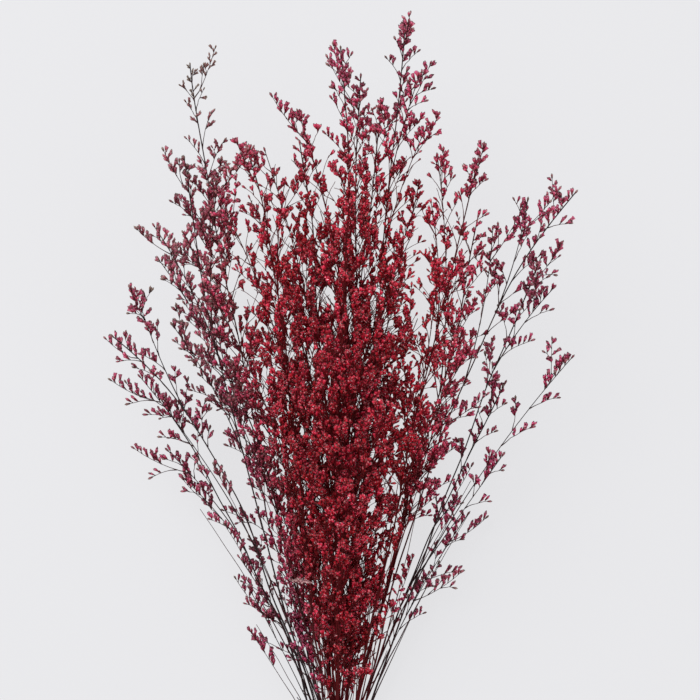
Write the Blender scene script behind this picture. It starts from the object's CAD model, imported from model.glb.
from collections import namedtuple
from math import ceil, cos, hypot, pi, radians, sin, sqrt, tan
from random import Random

import bmesh
import bpy
import numpy as np
from mathutils import Matrix, Vector, noise
from mathutils.geometry import intersect_point_line


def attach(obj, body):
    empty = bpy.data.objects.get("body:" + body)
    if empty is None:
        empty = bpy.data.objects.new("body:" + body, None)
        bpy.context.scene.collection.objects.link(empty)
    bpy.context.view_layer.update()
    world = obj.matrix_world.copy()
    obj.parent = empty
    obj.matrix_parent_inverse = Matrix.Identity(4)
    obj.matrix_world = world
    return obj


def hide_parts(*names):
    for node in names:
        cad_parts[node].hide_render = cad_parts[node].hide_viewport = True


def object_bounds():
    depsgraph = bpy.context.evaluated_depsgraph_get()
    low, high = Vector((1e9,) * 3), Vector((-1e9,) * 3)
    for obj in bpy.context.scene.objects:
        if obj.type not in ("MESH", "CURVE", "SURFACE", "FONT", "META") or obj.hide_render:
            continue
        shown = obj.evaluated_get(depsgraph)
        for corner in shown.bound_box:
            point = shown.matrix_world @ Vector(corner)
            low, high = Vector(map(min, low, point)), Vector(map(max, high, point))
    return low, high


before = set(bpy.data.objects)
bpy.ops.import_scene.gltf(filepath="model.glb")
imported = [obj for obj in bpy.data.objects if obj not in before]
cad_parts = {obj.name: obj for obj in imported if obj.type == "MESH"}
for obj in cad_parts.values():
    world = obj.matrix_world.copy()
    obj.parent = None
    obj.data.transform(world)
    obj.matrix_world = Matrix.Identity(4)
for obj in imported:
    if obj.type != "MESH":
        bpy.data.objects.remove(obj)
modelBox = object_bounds()
mm = 0.001
up = Vector((0, 0, 1))
tiny = 0.001 * mm
goldenAngle = 137.5  # degrees round the stem from each twig to the next
flatShare = cos(radians(30))  # how far out a hexagon's flats are for its corners' 1
print("frame loaded:", len(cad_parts), "nodes")


# Paths

def bezier(controls, steps):  # points along the Bezier curve of these control points
    points = []
    for step in range(steps + 1):
        level = list(controls)
        while len(level) > 1:
            level = [a.lerp(b, step / steps) for a, b in zip(level, level[1:])]
        points.append(level[0])
    return points


def lengthOf(path):
    return sum((end - start).length for start, end in zip(path, path[1:]))


def along(path, distance):  # the point this far back from the path's end and the way there, or None
    for end, start in zip(path[::-1], path[-2::-1]):
        length = (end - start).length
        if distance <= length:
            return end.lerp(start, distance / length), (end - start).normalized()
        distance -= length
    return None


def onto(path, point):  # the path's nearest point
    places = [start.lerp(end, min(max(intersect_point_line(point, start, end)[1], 0), 1))
              for start, end in zip(path, path[1:])]
    return min(places, key=lambda place: (place - point).length)


def spread(start, end, count):
    return [start + (end - start) * index / (count - 1) for index in range(count)]


def eased(share):  # from 0 to 1 with a soft start and a soft end
    return share * share * (3 - 2 * share)


def squared(side, way):  # the side, turned until it is square to the way
    return (side - way * way.dot(side)).normalized()


sun = dict(at=Vector((0, 1, 0)), above=Vector((0, 0.3, 1)), near=0.9)


def facing(way):  # the side that florets stand on: towards the sun, or else up
    return squared(sun["at"] if abs(way.y) < sun["near"] else sun["above"], way)


def turned(way, light, degrees):  # the light side, turned about the way
    return Matrix.Rotation(radians(degrees), 3, way) @ light


def leant(way, out, degrees):  # the way, leant outwards
    angle = radians(degrees)
    return way * cos(angle) + out * sin(angle)


# The bunch's main lines, by the rule and the draws of the model's solids, so that every fine twig lies
# where the solid has it

bundle = dict(
    pitch=2.45 * mm,  # centre to centre of neighbouring stems at the band
    bandHalf=5 * mm,  # the stems run parallel this far to each side of the band's middle
    height=7.35 * mm, cutHeight=11.5 * mm, cutLength=78 * mm, cutSplay=1.6,
    cutVaries=(-3, 3),  # in millimetres
    sideFan=76,  # the slope with which a stem leaves the band, for each metre off the middle
    upFan=40, leastRise=0.04,
    startRise=0.7,  # the share of its mean rise that a stem has at the band, and at its tip
    endRise=0.2,
    straight=0.36,  # the share of its length for which it keeps its first and its last direction
    forkAngle=radians(15),
    forkFrom=3,  # the lowest point of the path with a branch
)

plain = dict(  # the twigs and florets as the solids have them
    stemRadius=1.0 * mm, stemTipRadius=0.55 * mm, branchRadius=0.66 * mm, branchTipRadius=0.5 * mm,
    spikeRadius=0.27 * mm, stemSteps=8, branchSteps=4,
    bends=60,  # tried for a branch, each wider by up to this many millimetres
    bendStep=0.6,
    floretStep=5.4 * mm, floretReach=3.1 * mm, florets=4,
    spikeLength=(28 * mm, 42 * mm), spikeAngle=40, spikeSteps=6, spikeSpacing=90 * mm,
    spacingVaries=(0.85, 1.15),
    sunBend=Vector((0, 0.5, 0.05)),  # turns the end of a spike towards the sun
    tries=12, tryTurn=40, clearance=0.6 * mm, floorClearance=1.5 * mm,
)

fine = dict(low=8, lowBend=0.3, stem=56, branch=28)  # the steps of the same lines drawn finer

waves = dict(  # a stem's slight waves, which begin at start and grow for more steps
    phase=(0, 6.3), pace=(0.28, 0.75), size=(0.3, 0.9),  # in millimetres
    start=3, more=8,
)

# place is a stem's ring and angle in the bundle, seen from the cut ends. tip and branches are where it and
# its main branches end, in millimetres. lean is the way the tip points, in degrees from +Y towards +X.
# flowering is how far down from their tips the stem and its branches flower, airy is how far apart their
# sprays stand, and dye is how much dye the florets took. faded is the dye at a top that took less of it.
Stem = namedtuple("Stem", "place tip lean flowering airy dye branches rests faded", defaults=(False, None))
stems = (
    Stem((2, 180), (-150, 306, 78), -52, (110, 70), 1.25, 0.9, ((-133, 279, 64), (-134, 337, 96))),
    Stem((2, 210), (-118, 262, 40), -30, (80, 50), 1.2, 0.9, ((-115, 229, 52), (-105, 209, 30))),
    Stem((2, 240), (-86, 322, 0.6), -12, (170, 60), 1.1, 0.9, ((-68, 155, 22), (-61, 135, 36)), rests=True),
    Stem((2, 150), (-101, 421, 128), -8, (200, 90), 1.25, 0.6,
         ((-120, 378, 118), (-107, 313, 132), (-76, 420, 134))),
    Stem((2, 120), (-57, 425, 156), -14, (260, 140), 0.85, 0.95,
         ((-85, 340, 160), (-38, 330, 172), (-78, 398, 142), (-34, 406, 150))),
    Stem((2, 90), (8, 408, 170), 4, (340, 150), 0.7, 1.0,
         ((-18, 300, 176), (34, 262, 158), (40, 352, 168))),
    Stem((2, 60), (90, 419, 150), 14, (240, 130), 1.05, 1.0,
         ((64, 352, 172), (86, 300, 156), (60, 392, 150))),
    Stem((2, 30), (154, 400, 116), 38, (120, 80), 1.4, 0.95, ((123, 394, 134), (101, 376, 122))),
    Stem((2, 0), (136, 360, 84), 24, (100, 80), 1.4, 1.0, ((156, 292, 72), (142, 338, 98))),
    Stem((2, 330), (113, 274, 48), 28, (70, 50), 1.2, 1.0, ((110, 226, 62), (82, 197, 40))),
    Stem((2, 300), (88, 330, 0.6), 14, (170, 60), 1.1, 0.95, ((88, 184, 24), (61, 144, 30)), rests=True),
    Stem((2, 270), (4, 372, 22), 0, (300, 160), 0.75, 1.0,
         ((-36, 292, 22), (38, 284, 18), (42, 336, 30), (-30, 352, 26), (-56, 232, 24), (-30, 178, 34))),
    Stem((1, 0), (93, 382, 82), 10, (220, 120), 0.95, 1.0, ((66, 425, 88), (78, 264, 96), (44, 284, 84))),
    Stem((1, 60), (44, 512, 112), 6, (330, 120), 1.1, 0.95,
         ((53, 476, 128), (58, 444, 104), (52, 318, 118))),
    Stem((1, 120), (2, 494, 118), -6, (340, 140), 0.95, 0.95,
         ((-26, 452, 132), (-42, 244, 126), (-40, 350, 112), (-48, 428, 108))),
    Stem((1, 180), (-97, 486, 92), -6, (260, 130), 1.05, 0.75,
         ((-119, 357, 84), (-74, 268, 84), (-74, 372, 78), (-86, 402, 96)), faded=0.05),
    Stem((1, 240), (-25, 436, 58), -8, (390, 160), 0.75, 0.9,
         ((-60, 400, 50), (-24, 230, 60), (-50, 318, 66), (-54, 258, 50))),
    Stem((1, 300), (14, 480, 66), 2, (410, 150), 0.75, 1.0,
         ((54, 400, 48), (32, 210, 62), (24, 330, 58), (46, 320, 66))),
    Stem((0, 0), (30, 462, 90), 8, (400, 150), 0.75, 1.0,
         ((-12, 390, 86), (16, 180, 98), (14, 290, 100), (48, 372, 96))),
)

# path and the radii of its bare steps are as the solid has them. curve is the same line drawn finer, and
# light is its floret side.
Shoot = namedtuple("Shoot", "path radii curve light")


def floweringEnd(path):  # cuts the path's end into a step for each pair of plain florets
    step, count = plain["floretStep"], plain["florets"]
    marks = [along(path, step * index)[0] for index in range(count, -1, -1)]
    return [point for point in path if (point - path[-1]).length > step * (count + 0.5)] + marks


def radiiOf(path, thick, thin):
    return spread(thick, thin, len(path) - plain["florets"])[:-1]


def bundlePlace(ring, angle):  # the middle stem, the six round it and the twelve round those
    distance = ring * bundle["pitch"]
    if ring == 2 and angle % 60:
        distance *= flatShare
    return distance * cos(radians(angle)), distance * sin(radians(angle))


def mainStem(stem, number):
    side, height = bundlePlace(*stem.place)
    half = bundle["bandHalf"]
    longer = Random(number).uniform(*bundle["cutVaries"]) * mm
    cut = Vector((side * bundle["cutSplay"], longer - bundle["cutLength"],
                  bundle["cutHeight"] + height * bundle["cutSplay"]))
    below = Vector((side, -half, bundle["height"] + height))
    above = Vector((side, half, bundle["height"] + height))
    tip = Vector(stem.tip) * mm
    lean = radians(stem.lean)
    reach = (tip - above).length
    rise = (tip.z - above.z) / reach
    upward = max(height * bundle["upFan"] + rise * bundle["startRise"], bundle["leastRise"])
    leaving = Vector((side * bundle["sideFan"], 1, upward)).normalized()
    sinking = -bundle["leastRise"] if stem.rests else rise * bundle["endRise"]
    arriving = Vector((sin(lean), cos(lean), sinking)).normalized()
    controls = (above, above + Vector((0, half, 0)), above + leaving * reach * bundle["straight"],
                tip - arriving * reach * bundle["straight"], tip)
    path = floweringEnd([cut, below] + bezier(controls, plain["stemSteps"]))
    light = up if stem.rests else facing(arriving)
    curve = bezier((cut, below - (below - cut) * fine["lowBend"], below), fine["low"])
    curve += wavy(bezier(controls, fine["stem"]), number)
    return Shoot(path, radiiOf(path, plain["stemRadius"], plain["stemTipRadius"]), curve, light)


def wavy(points, number):
    rng = Random(400 + number)
    drawn = [(axis, *[rng.uniform(*waves[kind]) for kind in ("phase", "pace", "size")])
             for axis in (Vector((1, 0, 0)), up) * 2]
    least = min(point.z for point in points)
    made = []
    for index, point in enumerate(points):
        share = min(max(index - waves["start"], 0) / waves["more"], 1)
        point = point + sum((axis * sin(phase + pace * index) * (size * mm) * share
                             for axis, phase, pace, size in drawn), Vector())
        made.append(Vector((point.x, point.y, max(point.z, least))))
    return made


def fork(path, tip):  # where a branch to this tip leaves the stem at about the fork's angle
    steps = list(zip(path, path[1:]))[bundle["forkFrom"]:-plain["florets"]]
    places = [(start.lerp(end, part), end - start) for start, end in steps for part in (0, 0.25, 0.5, 0.75)]
    place, way = min(places, key=lambda found: abs(found[1].angle(tip - found[0]) - bundle["forkAngle"]))
    return place, way.normalized()


def branch(trunk, tip, bend):
    start, way = fork(trunk.path, tip)
    straight = tip - start
    middle = start + (way + straight.normalized()).normalized() * straight.length / 2 + bend
    path = floweringEnd(bezier((start, middle, tip), plain["branchSteps"]))
    radii = radiiOf(path, plain["branchRadius"], plain["branchTipRadius"])
    curve = bezier((onto(trunk.curve, start), middle, tip), fine["branch"])
    return Shoot(path, radii, curve, facing((tip - middle).normalized()))


def plainSpike(parent, start, way, length):
    bent = (way + plain["sunBend"]).normalized()
    middle = start + way * length / 2
    line = bezier((start, middle, middle + bent * length / 2), plain["spikeSteps"])
    path = [start] + floweringEnd(line)[-plain["florets"] - 1:]
    return Shoot(path, [plain["spikeRadius"]], [onto(parent.curve, start)] + line[1:], facing(bent))


class Space:  # what has grown, as round-ended rods, to keep each stem clear of the others
    def __init__(self):
        self.rods = []

    def rodsOf(self, shoot):
        reaches = shoot.radii + [plain["floretReach"]] * plain["florets"]
        return [(*start, *end, reach) for start, end, reach in zip(shoot.path, shoot.path[1:], reaches)]

    def add(self, owner, shoot):
        self.rods += [(owner, rod) for rod in self.rodsOf(shoot)]

    def isClear(self, owner, shoot):
        others = np.array([rod for other, rod in self.rods if other != owner])
        starts, ends, reaches = others[:, :3], others[:, 3:6], others[:, 6]
        return not any(
            (distances(np.array(rod[:3]), np.array(rod[3:6]), starts, ends)
             < reaches + rod[6] + plain["clearance"]).any()
            for rod in self.rodsOf(shoot)
        )


def distances(start, end, starts, ends):  # the distances from one straight rod to many
    run, runs, between = end - start, ends - starts, start - starts
    a, b, c = run @ run, runs @ run, (runs * runs).sum(axis=1)
    d, e = between @ run, (runs * between).sum(axis=1)
    s = np.clip((b * e - c * d) / np.maximum(a * c - b * b, 1e-18), 0, 1)
    t = np.clip((b * s + e) / c, 0, 1)
    s = np.clip((b * t - d) / a, 0, 1)
    return np.linalg.norm(between + s[:, None] * run - t[:, None] * runs, axis=1)


def growBranches(space, number, stem, trunk):  # each takes the first bend that clears the other stems
    rng = Random(100 + number)
    for tip in stem.branches:
        for attempt in range(plain["bends"]):
            bend = Vector((rng.uniform(-1, 1), 0, rng.uniform(-1, 1))) * attempt * plain["bendStep"] * mm
            shoot = branch(trunk, Vector(tip) * mm, bend)
            if space.isClear(number, shoot):
                break
        space.add(number, shoot)
        yield shoot


def growSpikes(space, number, stem, runs):  # side twigs down from each tip
    rng = Random(200 + number)
    for index, run in enumerate(runs):
        flowering = stem.flowering[index > 0] * mm
        distance = plain["floretStep"] * plain["florets"]
        turn = rng.uniform(0, 360)
        while distance < flowering and along(run.path, distance):
            start, way = along(run.path, distance)
            distance += plain["spikeSpacing"] * stem.airy * rng.uniform(*plain["spacingVaries"])
            turn += goldenAngle
            side = way.orthogonal().normalized()
            for attempt in range(plain["tries"]):
                out = leant(side, way.cross(side), turn + plain["tryTurn"] * attempt)
                aim = leant(way, out, plain["spikeAngle"])
                shoot = plainSpike(run, start, aim, rng.uniform(*plain["spikeLength"]))
                low = min(point.z for point in shoot.path[1:]) - plain["floretReach"]
                if low > plain["floorClearance"] and space.isClear(number, shoot):
                    space.add(number, shoot)
                    yield shoot
                    break


def growBunch():
    space = Space()
    shoots = {number: [mainStem(stem, number)] for number, stem in enumerate(stems, 1)}
    for number in shoots:
        space.add(number, shoots[number][0])
    for number, stem in enumerate(stems, 1):
        shoots[number] += growBranches(space, number, stem, shoots[number][0])
    for number, stem in enumerate(stems, 1):
        shoots[number] += growSpikes(space, number, stem, list(shoots[number]))
    return shoots


# The dense middle

core = dict(middle=8 * mm, slope=0.27, foot=40 * mm, middleFrom=100 * mm, top=300 * mm, fade=150 * mm,
            full=0.6, soft=0.7)


def coreShare(points):  # 1 in the dense middle, which widens upwards, and 0 outside it
    middle = core["middle"] * np.clip(points[:, 1] / core["middleFrom"], 0, 1)
    aside = (points[:, 0] - middle) / (core["slope"] * np.maximum(points[:, 1], core["foot"]))
    above = np.maximum(points[:, 1] - core["top"], 0) / core["fade"]
    return 1 - eased(np.clip((np.hypot(aside, above) - core["full"]) / core["soft"], 0, 1))


# The fine growth on those lines. A spray is a thin arching twig with a comb of short spikes on its lit side,
# and a spike is a stalk with a floret at its tip and a few more down its sides.

sprays = dict(
    spacing=(8 * mm, 13 * mm),  # along a stem or branch that isn't airy at all
    crowded=0.7,  # the share of it at the tip
    top=28 * mm,  # how far down a stem or branch has spikes of its own
    first=15 * mm,  # from the tip of the stem to its first spray
    near=(10 * mm, 16 * mm),  # the length of the sprays there, and further down
    far=(32 * mm, 56 * mm),
    fullAt=150 * mm,
    angle=(16, 32), droop=1.5, steps=6,
    forked=30 * mm,  # a spray longer than this carries twigs of its own
    twigsFrom=(0.4, 0.55),  # the stretch of the spray that has them
    twigsTo=0.9,
    twigSpacing=(9 * mm, 14 * mm),
    twigLength=(0.45, 0.6),  # as a share of the spray above it
    twigSteps=4,
    bare=0.38,  # the share of a spray's foot that has no spikes
    overhang=6 * mm,  # how far past the model's box a spray may reach
    floor=3 * mm,
)

spikes = dict(
    end=0.6 * mm,  # how far the floret at the spray's end sits below its tip
    first=(2, 3),  # from the tip to the first spike, in millimetres
    spacing=(3.3 * mm, 4.8 * mm),
    widening=60 * mm,  # it doubles this far down
    length=(1.3 * mm, 3 * mm),
    gain=0.22,  # how much longer a spike is for each metre down from the tip
    longest=(6 * mm, 9 * mm),
    angle=(32, 58),
    rank=(10, 60),  # degrees to each side of the lit side
    stalk=2 * mm,  # a shorter spike has no stalk that shows
)

florets = dict(
    first=1.2 * mm,  # from a spike's tip to the first floret on its side
    spacing=(1.3 * mm, 1.8 * mm),
    turn=(50, 110),  # to each side of the spike
    lean=(10, 27), size=(0.85, 1.15), tipSize=0.85,
    middle=2.4 * mm,  # how far up the floret its middle is
    reach=5 * mm,  # its length at most
    rest=1.8 * mm,  # its least height above the surface
    shut=0.72,  # the share of florets still closed
    # height, radius and place along the bud from 0 at its base to 1 in its cup, in millimetres
    open=((0, 0, 0), (0.7, 0.6, 0.2), (3.3, 0.94, 0.5), (4.6, 1.3, 0.7), (3.7, 0, 1)),
    closed=((0, 0, 0), (0.7, 0.6, 0.2), (3.3, 0.98, 0.6), (4.8, 0, 1)),
    sides=5,
    sharp=70,  # the angle from which an edge isn't rounded
    disc=(0.05, 0.43),  # its place on the map: the radius of its base, and how much more its rim has
)

dyeTaken = dict(  # the share of the dye that a floret took
    side=(0.9, 1),
    tip=(0.45, 1),  # at a spike's tip
    end=(0.05, 0.6),  # and at the end of a spray, which is greyer
    varies=0.2,  # from spray to spray
    core=0.7,  # the share of the missing dye that florets in the dense middle have
    tone=0.3,
    undyed=0.012,  # the share of sprays that took next to no dye
    undyedTook=0.2,
    undyedOutside=0.3,  # the core's share from which there are none
)

# A stem's top took less dye, and where it took almost none, its florets are smaller
tops = dict(reach=110 * mm, dye=0.9, pale=0.3, smaller=0.35)

twigs = dict(  # radii in millimetres
    stem=(0.95, 1.2), stemTip=0.38, branch=0.48, branchTip=0.26, stalk=0.5, spray=0.34, spike=0.26, tip=0.18,
    flare=1.35, wobble=0.3 * mm,
)

gaps = dict(  # slits through the dense middle: streaks of a noise
    across=5 * mm, along=18 * mm,
    above=(0.31, 0.14),  # the level low in the bunch and in the flower head
    moreFrom=240 * mm,
    more=1.6,  # how much lower the level is for each metre from here up
    plane=17,  # where the noise is cut, which places the slits
    core=0.5,  # the core's share from which there are any
)

stalks = dict(  # thin side stalks that leave a stem not far above the band
    reach=(4 * mm, 150 * mm),  # where they leave it, from the band up
    spacing=(9 * mm, 20 * mm),
    whole=((4, 12), (60 * mm, 140 * mm)),  # their angle and their length
    broken=((22, 40), (7 * mm, 16 * mm)),  # the same of those broken off short and bare
    brokenShare=0.3,  # on a stem that isn't airy
    brokenTip=1.6,
    outward=0.06, steps=8, flowering=(14 * mm, 34 * mm),
    stripped=0.35,  # the share of them that has lost its florets
)

bracts = dict(sides=3, profile=((0, 0, 0), (0.5, 0.5, 0.3), (2.6, 0, 1)))  # scales where sprays leave

Floret = namedtuple("Floret", "place aim size turn tone dye")
Twig = namedtuple("Twig", "path radii")


def tapered(path, thick, thin, power=3):  # a twig that thins quickly above its root, which flares a little
    radii = [thin + (thick - thin) * (1 - part) ** power for part in spread(0, 1, len(path))]
    return Twig(path, [radii[0] * twigs["flare"]] + radii[1:])


def uneven(rng, path):  # small kinks where the twig's own twigs leave it
    size = twigs["wobble"]
    kinks = [Vector([rng.uniform(-size, size) for axis in range(3)]) for point in path[2:]]
    return [path[0]] + [point + kink for point, kink in zip(path[1:], kinks)] + path[-1:]


def lit(path):  # the floret side of a twig's line
    return facing((path[-1] - path[1]).normalized())


def inGap(point):
    streak = noise.noise(Vector((point.x / gaps["across"], point.y / gaps["along"], gaps["plane"])))
    highest, least = gaps["above"]
    level = max(highest - gaps["more"] * max(point.y - gaps["moreFrom"], 0), least)
    return streak > level and coreShare(np.array([point]))[0] > gaps["core"]


def hasRoom(path):
    return all(
        point.z > sprays["floor"] and all(low - sprays["overhang"] < value < high + sprays["overhang"]
                                          for value, low, high in zip(point, *modelBox))
        for point in path[1:]
    )


class Dressing:  # all that grows on one stem
    def __init__(self, number, stem, shoots):
        self.rng = Random(300 + number)
        self.dye = stem.dye
        self.faded = stem.faded or stem.dye * tops["dye"]
        self.airy = stem.airy
        self.stems, self.twigs, self.open, self.closed, self.bracts = [], [], [], [], []
        main, leaders = shoots[0], 1 + len(stem.branches)
        thick = self.rng.uniform(*twigs["stem"])
        thinning = tapered(main.curve[fine["low"]:], thick, twigs["stemTip"], 2).radii[1:]
        self.stems.append(Twig(main.curve, [thick] * (fine["low"] + 1) + thinning))
        for index, shoot in enumerate(shoots[:leaders]):
            self.leader(shoot, stem.flowering[index > 0] * mm, index == 0)
            if index:
                self.stems.append(tapered(shoot.curve, twigs["branch"], twigs["branchTip"]))
        for shoot in shoots[leaders:]:
            self.vary(shoot.curve[0])
            self.fade((shoot.curve[0] - main.curve[-1]).length, True)
            self.spray(shoot.curve, shoot.light)
        self.basal(main.curve)

    def floret(self, place, aim, size, grows="side"):
        rng = self.rng
        if inGap(place + aim * florets["middle"]) or (place + aim * florets["reach"]).z < florets["rest"]:
            return
        shut = grows != "side" or rng.random() < florets["shut"]
        dye = self.dyeHere * self.took * rng.uniform(*dyeTaken[grows])
        dye += (1 - dye) * dyeTaken["core"] * self.depth
        size *= self.slight * rng.uniform(*florets["size"])
        place = Vector((place.x, place.y, max(place.z, florets["rest"])))
        tone = min(max(self.tone + rng.uniform(-1, 1) * dyeTaken["tone"], 0), 1)
        made = Floret(place, aim, size, rng.uniform(0, 360), tone, dye)
        (self.closed if shut else self.open).append(made)

    def spike(self, start, way, out, length):  # florets down a short stalk, turn and turn about
        rng = self.rng
        end = start + way * length
        if end.z < sprays["floor"] or inGap(end):
            return
        if length > spikes["stalk"]:
            self.twigs.append(tapered([start, end], twigs["spike"], twigs["tip"]))
        self.floret(end, way, florets["tipSize"], "tip")
        side = rng.choice((-1, 1))
        distance = min(length, florets["first"])
        while distance <= length:
            leaf = turned(way, out, side * rng.uniform(*florets["turn"]))
            self.floret(end - way * distance, leant(way, leaf, rng.uniform(*florets["lean"])), 1)
            side = -side
            distance += rng.uniform(*florets["spacing"])

    def comb(self, path, light, reach):  # spikes along the path's end, longer further from its tip
        rng = self.rng
        self.floret(*along(path, spikes["end"]), florets["tipSize"], "end")
        distance = rng.uniform(*spikes["first"]) * mm
        side = rng.choice((-1, 1))
        while distance < reach and along(path, distance):
            place, way = along(path, distance)
            out = turned(way, squared(light, way), side * rng.uniform(*spikes["rank"]))
            aim = leant(way, out, rng.uniform(*spikes["angle"]))
            length = rng.uniform(*spikes["length"]) + spikes["gain"] * distance
            length = min(length, rng.uniform(*spikes["longest"]))
            self.spike(place, aim, squared(out, aim), length)
            side = -side
            distance += rng.uniform(*spikes["spacing"]) * (1 + distance / spikes["widening"])

    def arched(self, start, stemWay, turn, length, steps):  # a spray's line, which arches off its stem
        angle = self.rng.uniform(*sprays["angle"])
        way = leant(stemWay, turned(stemWay, stemWay.orthogonal().normalized(), turn), angle)
        bent = (way + (way - stemWay * stemWay.dot(way)) * sprays["droop"]).normalized()
        middle = start + way * length / 2
        return uneven(self.rng, bezier((start, middle, middle + bent * length / 2), steps))

    def spray(self, path, light):
        rng = self.rng
        length = lengthOf(path)
        self.twigs.append(tapered(path, twigs["spray"], twigs["tip"]))
        self.comb(path, light, length * (1 - sprays["bare"]))
        distance = length * rng.uniform(*sprays["twigsFrom"])
        turn = rng.uniform(0, 360)
        while length > sprays["forked"] and distance < length * sprays["twigsTo"]:
            place, way = along(path, distance)
            reach = distance * rng.uniform(*sprays["twigLength"])
            twig = self.arched(place, way, turn, reach, sprays["twigSteps"])
            if hasRoom(twig):
                self.spray(twig, lit(twig))
            turn += goldenAngle
            distance += rng.uniform(*sprays["twigSpacing"])

    def vary(self, place):  # the tone of the spray that grows there, and the share of the dye that it took
        rng = self.rng
        self.tone = rng.random()
        self.depth = coreShare(np.array([place]))[0]
        undyed = rng.random() < dyeTaken["undyed"] and self.depth < dyeTaken["undyedOutside"]
        self.took = dyeTaken["undyedTook"] if undyed else 1 - dyeTaken["varies"] * rng.random() ** 2

    def fade(self, distance, reaches):  # the dye and the florets' size this far down from a tip
        share = min(distance / tops["reach"], 1) if reaches else 1
        self.dyeHere = self.faded + (self.dye - self.faded) * share
        self.slight = 1 - (1 - share) * (tops["smaller"] if self.faded < tops["pale"] else 0)

    def leader(self, shoot, flowering, isStem):  # a stem or main branch, with its top and its sprays
        rng = self.rng
        self.vary(shoot.curve[-1])
        self.fade(0, isStem)
        self.took = 1
        self.comb(shoot.curve, shoot.light, sprays["top"])
        distance = sprays["first"]
        turn = rng.uniform(0, 360)
        while distance < flowering and along(shoot.curve, distance):
            place, way = along(shoot.curve, distance)
            self.fade(distance, isStem)
            full = min((distance - sprays["first"]) / (sprays["fullAt"] - sprays["first"]), 1)
            near, far = rng.uniform(*sprays["near"]), rng.uniform(*sprays["far"])
            path = self.arched(place, way, turn, near + (far - near) * full, sprays["steps"])
            self.vary(place)
            if hasRoom(path):
                self.spray(path, lit(path))
                self.bracts.append(Floret(place, way, 1, rng.uniform(0, 360), 0, 0))
            turn += goldenAngle
            crowded = sprays["crowded"] + (1 - sprays["crowded"]) * full
            distance += rng.uniform(*sprays["spacing"]) * self.airy ** 2 * crowded

    def basal(self, curve):  # the side stalks low on the stem
        rng = self.rng
        whole = lengthOf(curve[fine["low"] + 1:])
        distance = rng.uniform(0, 1) * stalks["spacing"][0] + stalks["reach"][0]
        while distance < stalks["reach"][1]:
            place, way = along(curve, whole - distance)
            broken = rng.random() < stalks["brokenShare"] * self.airy ** 3
            angles, lengths = stalks["broken" if broken else "whole"]
            angle = rng.uniform(*angles)
            out = turned(way, way.orthogonal().normalized(), rng.uniform(0, 360))
            aim = leant(way, out, angle)
            length = rng.uniform(*lengths)
            end = place + (aim + out * stalks["outward"]) * length
            path = uneven(rng, bezier((place, place + aim * length / 2, end), stalks["steps"]))
            if hasRoom(path):
                tip = twigs["tip"] * (stalks["brokenTip"] if broken else 1)
                self.twigs.append(tapered(path, twigs["stalk"], tip, 2))
                self.vary(place)
                if not broken and rng.random() > stalks["stripped"]:
                    self.comb(path, lit(path), rng.uniform(*stalks["flowering"]))
            distance += rng.uniform(*stalks["spacing"]) * self.airy


# Meshes

def turnedShape(profile, sides):  # a profile spun round its axis: its points, triangles and places along
    bm = bmesh.new()
    verts = [bm.verts.new((radius * mm, 0, height * mm)) for height, radius, place in profile]
    edges = [bm.edges.new(pair) for pair in zip(verts, verts[1:])]
    bmesh.ops.spin(bm, geom=verts + edges, cent=(0, 0, 0), axis=(0, 0, 1), angle=2 * pi, steps=sides,
                   use_merge=True, use_duplicate=False)
    bmesh.ops.remove_doubles(bm, verts=bm.verts[:], dist=tiny)
    bmesh.ops.triangulate(bm, faces=bm.faces[:])
    bmesh.ops.recalc_face_normals(bm, faces=bm.faces[:])
    bm.verts.index_update()
    points = np.array([vert.co[:] for vert in bm.verts])
    faces = np.array([[vert.index for vert in face.verts] for face in bm.faces])
    heights = {(round(height, 3), round(radius, 3)): place for height, radius, place in profile}
    found = [(vert.co.z / mm, hypot(vert.co.x, vert.co.y) / mm) for vert in bm.verts]
    places = np.array([heights[round(height, 3), round(radius, 3)] for height, radius in found])
    bm.free()
    return points, faces, places


def polarMap(points, faces, places):  # each corner's place on a disc: the base in its middle, the cup outside
    corners = points[faces]
    middle = corners.mean(axis=1, keepdims=True)
    onAxis = np.hypot(corners[..., 0], corners[..., 1]) < tiny
    seen = np.where(onAxis[..., None], middle, corners)
    angle = np.arctan2(seen[..., 1], seen[..., 0])
    base, more = florets["disc"]
    reach = base + more * places[faces]
    return np.stack([np.cos(angle), np.sin(angle)], axis=-1) * reach[..., None]


def copiesOf(shape, placed):  # the shape's points and triangles at each place
    points, faces, places = shape
    copies = []
    for made in placed:
        turn = made.aim.to_track_quat("Z", "Y").to_matrix() @ Matrix.Rotation(radians(made.turn), 3, "Z")
        copies.append(points @ np.array(turn).T * made.size + np.array(made.place))
    offsets = np.arange(len(placed))[:, None, None] * len(points)
    return np.array(copies).reshape(-1, 3), (faces + offsets).reshape(-1, 3)


def meshOf(name, points, faces):
    mesh = bpy.data.meshes.new(name)
    mesh.from_pydata(points.tolist(), [], faces.tolist())
    mesh.shade_smooth()
    return mesh


def meshFrom(bm, name):
    mesh = bpy.data.meshes.new(name)
    bm.to_mesh(mesh)
    bm.free()
    mesh.shade_smooth()
    return mesh


def addCore(mesh):
    points = np.empty(len(mesh.vertices) * 3)
    mesh.vertices.foreach_get("co", points)
    mesh.attributes.new("core", "FLOAT", "POINT").data.foreach_set("value", coreShare(points.reshape(-1, 3)))


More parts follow.
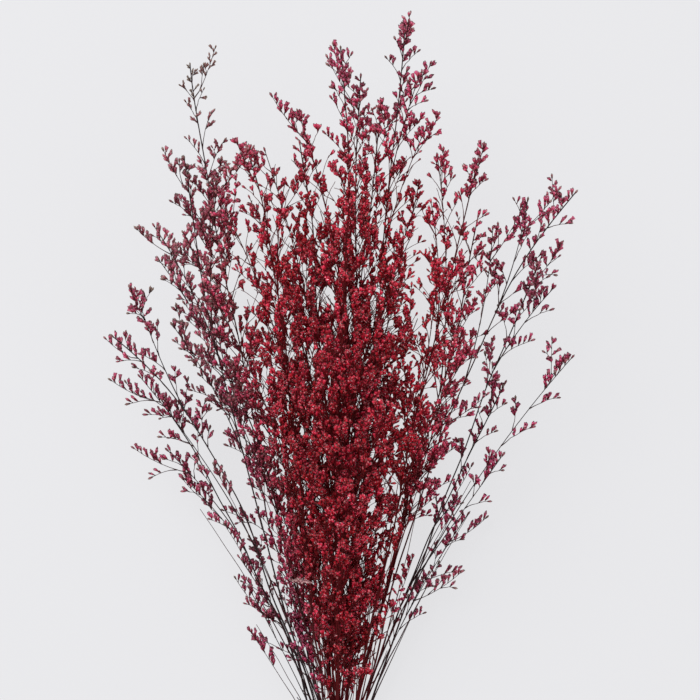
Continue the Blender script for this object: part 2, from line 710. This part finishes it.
def floretMesh(name, dressing):
    kinds = ((openFloret, dressing.open), (closedFloret, dressing.closed))
    points, faces, values, maps = [], [], {"along": [], "tone": [], "dye": []}, []
    across = ceil(sqrt(len(dressing.open + dressing.closed)))  # each floret has its own square on the map
    done = before = 0
    for shape, placed in kinds:
        made, madeFaces = copiesOf(shape, placed)
        points.append(made)
        faces.append(madeFaces + before)
        before += len(made)
        values["along"].append(np.tile(shape[2], len(placed)))
        for value in ("tone", "dye"):
            values[value].append(np.repeat([getattr(one, value) for one in placed], len(shape[0])))
        squares = np.arange(done, done + len(placed))
        corner = np.stack([squares % across, squares // across], axis=-1) + 0.5
        maps.append((corner[:, None, None] + polarMap(*shape)).reshape(-1, 2) / across)
        done += len(placed)
    mesh = meshOf(name, np.concatenate(points), np.concatenate(faces))
    for value, parts in values.items():
        mesh.attributes.new(value, "FLOAT", "POINT").data.foreach_set("value", np.concatenate(parts))
    addCore(mesh)
    mesh.uv_layers.new(name="OFBake").data.foreach_set("uv", np.concatenate(maps).ravel())
    mesh.set_sharp_from_angle(angle=radians(florets["sharp"]))
    return mesh


def tubes(lines, resolution):  # round tubes that thin towards their tips: a bevelled curve, made a mesh
    curve = bpy.data.curves.new("tubes", "CURVE")
    curve.dimensions = "3D"
    curve.bevel_depth = mm
    curve.bevel_resolution = resolution
    curve.use_fill_caps = True
    for line in lines:
        spline = curve.splines.new("POLY")
        spline.points.add(len(line.path) - 1)
        spline.points.foreach_set("co", [value for point in line.path for value in (*point, 1)])
        spline.points.foreach_set("radius", line.radii)
    carrier = bpy.data.objects.new("tubes", curve)
    mesh = bpy.data.meshes.new_from_object(carrier)
    bpy.data.objects.remove(carrier)
    return mesh


def woodMesh(name, dressing):
    points, faces = copiesOf(bractShape, dressing.bracts)
    bm = bmesh.new()
    meshes = (tubes(dressing.stems, 2), meshOf("bracts", points, faces), tubes(dressing.twigs, 0))
    for slot, mesh in zip((0, 0, 1), meshes):
        mesh.polygons.foreach_set("material_index", [slot] * len(mesh.polygons))
        bm.from_mesh(mesh)
        bpy.data.meshes.remove(mesh)
    mesh = meshFrom(bm, name)
    addCore(mesh)
    return mesh


def addObject(name, data):
    made = bpy.data.objects.new(name, data)
    bpy.context.scene.collection.objects.link(made)
    return made


def addPiece(name, mesh, materials, node):
    for material in materials:
        mesh.materials.append(material)
    piece = addObject(name, mesh)
    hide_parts(node)
    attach(piece, "root")
    return piece


# Materials

def linear(colour):  # an sRGB hex value as a linear colour
    parts = [int(colour[start:start + 2], 16) / 255 for start in (1, 3, 5)]
    return [part / 12.92 if part <= 0.04045 else ((part + 0.055) / 1.055) ** 2.4 for part in parts] + [1]


def setInputs(node, inputs):  # each from a value, a socket or another node's first output
    for name, value in inputs.items():
        if isinstance(value, bpy.types.Node):
            value = value.outputs[0]
        if isinstance(value, bpy.types.NodeSocket):
            node.id_data.links.new(value, node.inputs[name])
        else:
            node.inputs[name].default_value = value


def addNode(tree, kind, inputs, stops=(), **settings):  # a node, what goes into it, and a ramp's stops
    made = tree.nodes.new(kind)
    for name, value in settings.items():
        setattr(made, name, value)
    setInputs(made, inputs)
    for index, (place, colour) in enumerate(stops):
        stop = made.color_ramp.elements[index] if index < 2 else made.color_ramp.elements.new(place)
        stop.position = place
        stop.color = linear(colour)
    return made


def placeOf(tree):
    return addNode(tree, "ShaderNodeTexCoord", {}).outputs["Object"]


def blotched(tree, size, detail):  # a noise with blotches of about this size
    return addNode(tree, "ShaderNodeTexNoise", {"Vector": placeOf(tree), "Scale": 1 / size, "Detail": detail})


def attributeOf(tree, name):
    return addNode(tree, "ShaderNodeAttribute", {}, attribute_name=name).outputs["Fac"]


def ramp(tree, value, stops):
    return addNode(tree, "ShaderNodeValToRGB", {0: value}, stops)


def reckoned(tree, operation, *values):
    return addNode(tree, "ShaderNodeMath", dict(enumerate(values)), operation=operation)


def spanned(tree, value, span, made=(0, 1)):  # a value of the one span as a value of the other
    return addNode(tree, "ShaderNodeMapRange", {"Value": value, "From Min": span[0], "From Max": span[1],
                                                "To Min": made[0], "To Max": made[1]})


def blended(tree, share, first, second, blend="MIX"):  # two colours, with this share of the second
    return addNode(tree, "ShaderNodeMix", {0: share, 6: first, 7: second}, data_type="RGBA",
                   blend_type=blend).outputs[2]


def raised(tree, height, relief):
    return addNode(tree, "ShaderNodeBump", {"Height": height, "Strength": relief[0], "Distance": relief[1]})


def newMaterial(name, look):
    material = bpy.data.materials.new(name)
    material.use_nodes = True
    tree = material.node_tree
    shader = tree.nodes["Principled BSDF"]
    setInputs(shader, {"Roughness": look["roughness"], "Specular IOR Level": look["specular"]})
    return material, tree, shader


floretLook = dict(
    dyed=((0, "#2a060d"), (0.2, "#520c1f"), (0.42, "#a42246"), (0.62, "#cc5a82"), (0.78, "#4a1a28"),
          (1, "#2a1014")),
    undyed=((0, "#262220"), (0.25, "#453e39"), (0.55, "#675c52"), (0.8, "#8a8074"), (1, "#35302a")),
    coreTint="#ff6862",
    tones=(0.3, 1.7),  # a floret's tone and its blotches' noise, added up
    coreTinted=(1, 0.66),  # of the darkest florets and of the brightest
    coreLift=0.07,  # how much brighter it is there, where the florets light each other
    brightness=(0.56, 1.36), roughness=0.8, specular=0.05,
    mottle=1 * mm,  # the size of the paper's blotches
    relief=(0.5, 0.2 * mm),
    pale="#e0b4b8",  # the papery rims, where the dye hardly took
    paleFrom=(0.62, 0.68), paleness=0.9,
)


def dyedPaperyCalyx():  # thin dry calyx: matt, with pale rims, and dye pooled at its base and in its cup
    look = floretLook
    material, tree, shader = newMaterial("dyedPaperyCalyx", look)
    place, tone, dye, depth = [attributeOf(tree, name) for name in ("along", "tone", "dye", "core")]
    blotches = blotched(tree, look["mottle"], 2)
    tones = reckoned(tree, "ADD", tone, blotches)
    tinted, bright = [spanned(tree, tones, look["tones"], look[made])
                      for made in ("coreTinted", "brightness")]
    red = blended(tree, reckoned(tree, "MULTIPLY", depth, tinted), ramp(tree, place, look["dyed"]),
                  linear(look["coreTint"]), "MULTIPLY")
    flecks = spanned(tree, blotches, look["paleFrom"], (0, look["paleness"]))
    flecked = blended(tree, flecks, red, linear(look["pale"]))
    both = blended(tree, dye, ramp(tree, place, look["undyed"]), flecked)
    lifted = reckoned(tree, "MULTIPLY", bright, reckoned(tree, "MULTIPLY_ADD", depth, look["coreLift"], 1))
    colour = addNode(tree, "ShaderNodeVectorMath", {0: both, "Scale": lifted}, operation="SCALE")
    setInputs(shader, {"Base Color": colour, "Normal": raised(tree, blotches, look["relief"])})
    return material


dry = dict(streaks=(0.3, 0.75), roughness=0.75, specular=0.08, relief=(0.6, 0.15 * mm))
stemLook = dict(dry, outer=("#211b1c", "#3d3333"), inner=("#36080a", "#5c1416"), streak=(0.35 * mm, 6 * mm))
twigLook = dict(dry, outer=("#2f1a1c", "#4c2a2c"), inner=("#440a0e", "#6c161a"), streak=(0.3 * mm, 3 * mm))


def driedBark(name, look):  # a dry, finely ridged skin: matt, darkest outside, stained by the dye inside
    material, tree, shader = newMaterial(name, look)
    wide, long = look["streak"]
    stretched = addNode(tree, "ShaderNodeMapping", {"Vector": placeOf(tree),
                                                    "Scale": (1 / wide, 1 / long, 1 / wide)})
    streaks = addNode(tree, "ShaderNodeTexNoise", {"Vector": stretched, "Scale": 1, "Detail": 3})
    sharper = spanned(tree, streaks, look["streaks"])
    outer, inner = [ramp(tree, sharper, tuple(enumerate(look[side]))) for side in ("outer", "inner")]
    colour = blended(tree, attributeOf(tree, "core"), outer, inner)
    setInputs(shader, {"Base Color": colour, "Normal": raised(tree, streaks, look["relief"])})
    return material


# The bunch

shoots = growBunch()
print("stems grown:", sum(len(grown) for grown in shoots.values()), "shoots")
openFloret = turnedShape(florets["open"], florets["sides"])
closedFloret = turnedShape(florets["closed"], florets["sides"])
bractShape = turnedShape(bracts["profile"], bracts["sides"])
calyx = dyedPaperyCalyx()
bark = driedBark("driedStemBark", stemLook)
twigBark = driedBark("dyedTwigBark", twigLook)
triangles = 0
for number, stem in enumerate(stems, 1):
    node = f"stem_{number:02d}"
    dressing = Dressing(number, stem, shoots[number])
    wood = addPiece(node + "_wood", woodMesh(node, dressing), (bark, twigBark), node)
    bloom = addPiece(node + "_florets", floretMesh(node, dressing), (calyx,), node)
    for piece in (wood, bloom):
        piece.data.calc_loop_triangles()
        triangles += len(piece.data.loop_triangles)
    print(node, len(dressing.twigs), "twigs,", len(dressing.open) + len(dressing.closed), "florets")
print("bunch dressed:", triangles, "triangles")


# The elastic band: one loop wound three times, whose last run crosses back over the others

band = dict(
    stem=1.3 * mm,  # half of a stem's thickness and the slack round it
    pitch=2.2 * mm, turns=3, width=1.7 * mm, thickness=1.1 * mm, corner=0.35 * mm,
    stepOver=0.16,  # the turn in which the strip moves over by one
    crossing=0.36,
    crossingAt=0.25,  # in turns from the bottom
    steps=54,  # for each turn
)


def bandRadius(turn):  # of the strip's middle line, which runs straight between the bundle's six corners
    corner = 2 * bundle["pitch"]
    out = band["stem"] + band["thickness"] / 2
    angle = radians(abs((turn * 360 + 30) % 60 - 30))
    if tan(angle) < 0.5 * out / (corner + flatShare * out):
        return corner * cos(angle) + sqrt(out ** 2 - (corner * sin(angle)) ** 2)
    return (corner * flatShare + out) / cos(radians(30) - angle)


def bandLine():  # the strip's middle line: angle from the bottom, place across and radius
    last = band["turns"] - 1
    wound = band["turns"] - band["crossing"]
    line = []
    for step in range(band["turns"] * band["steps"]):
        turn = step / band["steps"]
        if turn < wound:
            whole, part = divmod(turn + band["stepOver"] / 2 + 0.5, 1)
            over = min(part / band["stepOver"], 1)
            level = min(max(whole - 1, 0) + eased(over) * (whole > 0), last)
            rise = 0
        else:
            over = (turn - wound) / band["crossing"]
            level = last * (1 - eased(over))
            rise = sqrt(sin(pi * over)) * band["thickness"]
        turn += band["crossingAt"] + 0.5
        line.append((turn, (level - last / 2) * band["pitch"], bandRadius(turn) + rise))
    return line


rubberLook = dict(stops=((0.3, "#a77f4c"), (0.7, "#c9a36c")), bloom=1.6 * mm, grit=0.15 * mm, roughness=0.55,
                  specular=0.4, relief=(0.3, 0.05 * mm))


def naturalRubber():  # cut rubber strip: tan, half matt, with a dusty bloom in the stretched skin
    material, tree, shader = newMaterial("naturalRubber", rubberLook)
    colour = ramp(tree, blotched(tree, rubberLook["bloom"], 4), rubberLook["stops"])
    skin = raised(tree, blotched(tree, rubberLook["grit"], 2), rubberLook["relief"])
    setInputs(shader, {"Base Color": colour, "Normal": skin})
    return material


def elasticBand():
    bm = bmesh.new()
    bmesh.ops.create_grid(bm, x_segments=1, y_segments=1, size=0.5)
    bmesh.ops.scale(bm, vec=(band["width"], band["thickness"], 1), verts=bm.verts[:])
    bmesh.ops.bevel(bm, geom=bm.verts[:], affect="VERTICES", offset=band["corner"], segments=3, profile=0.5,
                    material=-1)
    section = bm.faces[:][0]
    corners = [vert.co.copy() for vert in section.verts]
    rings = []
    for turn, across, radius in bandLine():
        angle = turn * 2 * pi
        out = Vector((sin(angle), 0, -cos(angle)))
        middle = Vector((0, across, bundle["height"])) + out * radius
        verts = [bm.verts.new(middle + Vector((0, 1, 0)) * corner.x + out * corner.y) for corner in corners]
        rings.append([bm.edges.new(pair) for pair in zip(verts, verts[1:] + verts[:1])])
    bmesh.ops.delete(bm, geom=[section], context="FACES")
    for ring, following in zip(rings, rings[1:] + rings[:1]):
        bmesh.ops.bridge_loops(bm, edges=ring + following)
    bmesh.ops.recalc_face_normals(bm, faces=bm.faces[:])
    addPiece("tie_band", meshFrom(bm, "tie_band"), (naturalRubber(),), "tie")


elasticBand()
print("band wound")


# A faded bract that has come to lie across the bunch, caught on the highest stem there

scrap = dict(
    place=(-25 * mm, 143 * mm),
    length=15 * mm, width=2.5 * mm, leastWidth=0.2 * mm, ragged=0.9, crumple=1.6 * mm,
    lifted=1.6,  # how much more it is crumpled upwards than sideways
    raised=2.2 * mm,  # how far its middle is above the stem's, on the florets there
    turn=-6, thick=0.15 * mm,
    steps=(19, 5),  # rows along it and points across it
)

paperLook = dict(stops=((0.4, "#6e3640"), (0.5, "#b98a8c"), (0.66, "#dcbcb4")), folds=1.2 * mm,
                 roughness=0.85, specular=0.15)


def fadedPaper():  # a bract without dye: thin, dry and matt, pale pink with darker folds
    material, tree, shader = newMaterial("fadedPaper", paperLook)
    setInputs(shader, {"Base Color": ramp(tree, blotched(tree, paperLook["folds"], 3), paperLook["stops"])})
    return material


def crumpled(across, row):  # the bract's point at these places across and along it, each from -1 to 1
    ragged = 1 + scrap["ragged"] * noise.noise(Vector((row * 5, 0, 1)))
    width = scrap["width"] / 2 * (1 - abs(row) ** 3) * ragged + scrap["leastWidth"]
    y = across * width + noise.noise(Vector((row * 4, across, 7))) * scrap["crumple"]
    z = noise.noise(Vector((row * 6, across * 2, 3))) * scrap["crumple"] * scrap["lifted"]
    return Vector((row * scrap["length"] / 2, y, z))


def fadedBract():
    middle = Vector((*scrap["place"], 0))
    nearest = {number: min(grown[0].curve, key=lambda point: (point.xy - middle.xy).length)
               for number, grown in shoots.items()}
    close = [number for number in nearest if (nearest[number].xy - middle.xy).length < scrap["length"] / 2]
    number = max(close, key=lambda number: nearest[number].z)
    middle.z = nearest[number].z + scrap["raised"]
    turn = Matrix.Rotation(radians(scrap["turn"]), 3, "Z")
    bm = bmesh.new()
    rings = []
    for row in spread(-1, 1, scrap["steps"][0]):
        top = [middle + turn @ crumpled(across, row) for across in spread(-1, 1, scrap["steps"][1])]
        bottom = [point - up * scrap["thick"] for point in top[::-1]]
        rings.append([bm.verts.new(point) for point in top + bottom])
    for ring, following in zip(rings, rings[1:]):
        for corners in zip(ring, ring[1:] + ring[:1], following[1:] + following[:1], following):
            bm.faces.new(corners)
    bm.faces.new(rings[0])
    bm.faces.new(rings[-1])
    bmesh.ops.triangulate(bm, faces=bm.faces[:])
    bmesh.ops.recalc_face_normals(bm, faces=bm.faces[:])
    mesh = meshFrom(bm, "faded_bract")
    addPiece("faded_bract", mesh, (fadedPaper(),), f"stem_{number:02d}")


fadedBract()
print("bract laid")


# Floor, light and camera

stage = dict(
    floor=6.0,
    key=((-0.9, 1.1, 1.7), 1.3, 28),  # place, size and power of the light from the upper left
    fill=((1.3, -0.2, 1.5), 1.6, 6),
    lit=Vector((0, 0.3, 0.08)),  # what both point at
    world="#f4f4f8", worldStrength=0.75,
    camera=(7.8 * mm, 297.5 * mm, 2.09), lens=155,
)

# The card is lit from behind, so that the bunch throws only a faint shade on it
cardLook = dict(colour="#565658", roughness=0.9, specular=0.5, glow="#fdfdff", glowStrength=0.7)


def addFloor():
    bm = bmesh.new()
    bmesh.ops.create_grid(bm, x_segments=1, y_segments=1, size=stage["floor"] / 2)
    mesh = meshFrom(bm, "floor")
    material, tree, shader = newMaterial("mattCard", cardLook)
    setInputs(shader, {"Base Color": linear(cardLook["colour"]), "Emission Color": linear(cardLook["glow"]),
                       "Emission Strength": cardLook["glowStrength"]})
    mesh.materials.append(material)
    floor = addObject("floor", mesh)


def addLight(name, place, size, power):
    lamp = bpy.data.lights.new(name, "AREA")
    lamp.size = size
    lamp.energy = power
    light = addObject(name, lamp)
    light.location = place
    light.rotation_euler = (Vector(place) - stage["lit"]).to_track_quat("Z", "Y").to_euler()


def addCamera():  # straight down on the bunch, with its flower head at the top
    lens = bpy.data.cameras.new("camera")
    lens.lens = stage["lens"]
    camera = addObject("camera", lens)
    camera.location = stage["camera"]
    bpy.context.scene.camera = camera


addFloor()
addLight("key", *stage["key"])
addLight("fill", *stage["fill"])
addCamera()
world = bpy.data.worlds.new("world")
world.use_nodes = True
setInputs(world.node_tree.nodes["Background"],
          {"Color": linear(stage["world"]), "Strength": stage["worldStrength"]})
bpy.context.scene.world = world
bpy.context.scene.view_settings.view_transform = "Standard"
print("stage set")
